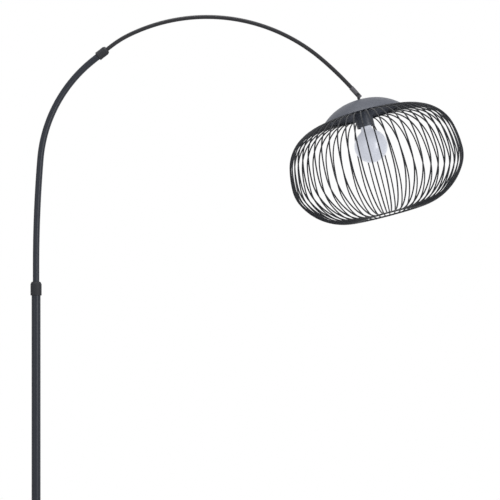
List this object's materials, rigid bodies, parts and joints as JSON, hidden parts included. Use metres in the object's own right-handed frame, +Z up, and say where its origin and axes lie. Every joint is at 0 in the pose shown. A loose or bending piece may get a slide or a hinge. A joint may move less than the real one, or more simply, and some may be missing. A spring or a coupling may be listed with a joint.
{
  "type": "floor lamp",
  "caption": "Arc floor lamp: a weighted round base, a pole with a sliding arch, and a tilting shade cage of bent wires around an opal globe bulb.",
  "frame": {"origin": "on the floor, under the pole's axis, at the base pad's underside", "axes": "+Z up along the pole, +X towards the shade, in the plane of the arch"},
  "size_m": [1.1546, 0.4302, 1.7498],
  "materials": {
    "powder_coat": "satin powder coat, dark grey",
    "dome_coat": "satin powder coat, dark grey",
    "wire_coat": "satin powder coat, near black",
    "collar_plastic": "moulded nylon, fine matt",
    "collet_nylon": "moulded natural nylon",
    "holder_plastic": "moulded phenolic, satin black",
    "steatite": "fired steatite, off white",
    "black_steel": "blackened steel",
    "zinc_steel": "bright zinc plate",
    "cast_iron": "rough cast, black primer",
    "felt": "needled felt, black",
    "gland_rubber": "moulded rubber",
    "flex_sheath": "round PVC sheath",
    "brass": "bright rolled brass",
    "nickel_cap": "rolled aluminium screw cap",
    "opal_glass": "opal white glass, gloss"
  },
  "bodies": {
    "stand": {"base_pad": "felt", "base_weight": "cast_iron", "base_cover": "powder_coat", "base_washer": "zinc_steel", "base_nut": "zinc_steel", "base_nipple": "zinc_steel", "cord_gland": "gland_rubber", "pole_foot": "zinc_steel", "foot_collar": "powder_coat", "lower_pole": "powder_coat", "upper_pole": "powder_coat", "pole_joiner": "zinc_steel", "pole_flex": "flex_sheath", "lower_collet": "collet_nylon"},
    "lower_collar": {"lower_collar": "collar_plastic"},
    "mast_guide": {"guide_bush": "collet_nylon"},
    "arch": {"arch_tube": "powder_coat", "upper_collet": "collet_nylon", "arm_rod": "powder_coat", "arm_flex": "flex_sheath", "arm_fork": "powder_coat", "pivot_screw": "black_steel", "pivot_nut": "black_steel"},
    "upper_collar": {"upper_collar": "collar_plastic"},
    "shade": {"shade_stem": "black_steel", "canopy_washer": "black_steel", "canopy_dome": "dome_coat", "canopy_nut": "zinc_steel", "mounting_strap": "zinc_steel", "strap_screws": "zinc_steel", "holder_cap": "holder_plastic", "holder_nut": "zinc_steel", "holder_body": "holder_plastic", "contact_block": "steatite", "terminal_screws": "brass", "screw_shell": "brass", "centre_contact": "brass", "bulb_cap": "nickel_cap", "bulb_globe": "opal_glass", "cage_top_ring": "wire_coat", "cage_bottom_ring": "wire_coat", "cage_wires_1": "wire_coat", "cage_wires_2": "wire_coat", "cage_wires_3": "wire_coat", "cage_wires_4": "wire_coat", "cage_wires_5": "wire_coat", "cage_wires_6": "wire_coat", "cage_wires_7": "wire_coat", "cage_wires_8": "wire_coat"}
  },
  "joints": [
    {"name": "lower_collar_turn", "type": "hinge", "parent": "stand", "child": "lower_collar", "pos_m": [0, 0, 1.07], "axis": [0, 0, 1], "range_deg": [0, 90]},
    {"name": "mast_height", "type": "slide", "parent": "stand", "child": "mast_guide", "axis": [0, 0, 1], "range_m": [-0.035, 0.1]},
    {"name": "arm_swivel", "type": "hinge", "parent": "mast_guide", "child": "arch", "pos_m": [0, 0, 0.92], "axis": [0, 0, 1], "range_deg": [-170, 170]},
    {"name": "upper_collar_turn", "type": "hinge", "parent": "arch", "child": "upper_collar", "pos_m": [0.1664, 0, 1.65773], "axis": [0.7856, 0, 0.6187], "range_deg": [0, 90]},
    {"name": "shade_tilt", "type": "hinge", "parent": "arch", "child": "shade", "pos_m": [0.79457, 0, 1.55257], "axis": [0, 1, 0], "range_deg": [-60, 45]}
  ]
}
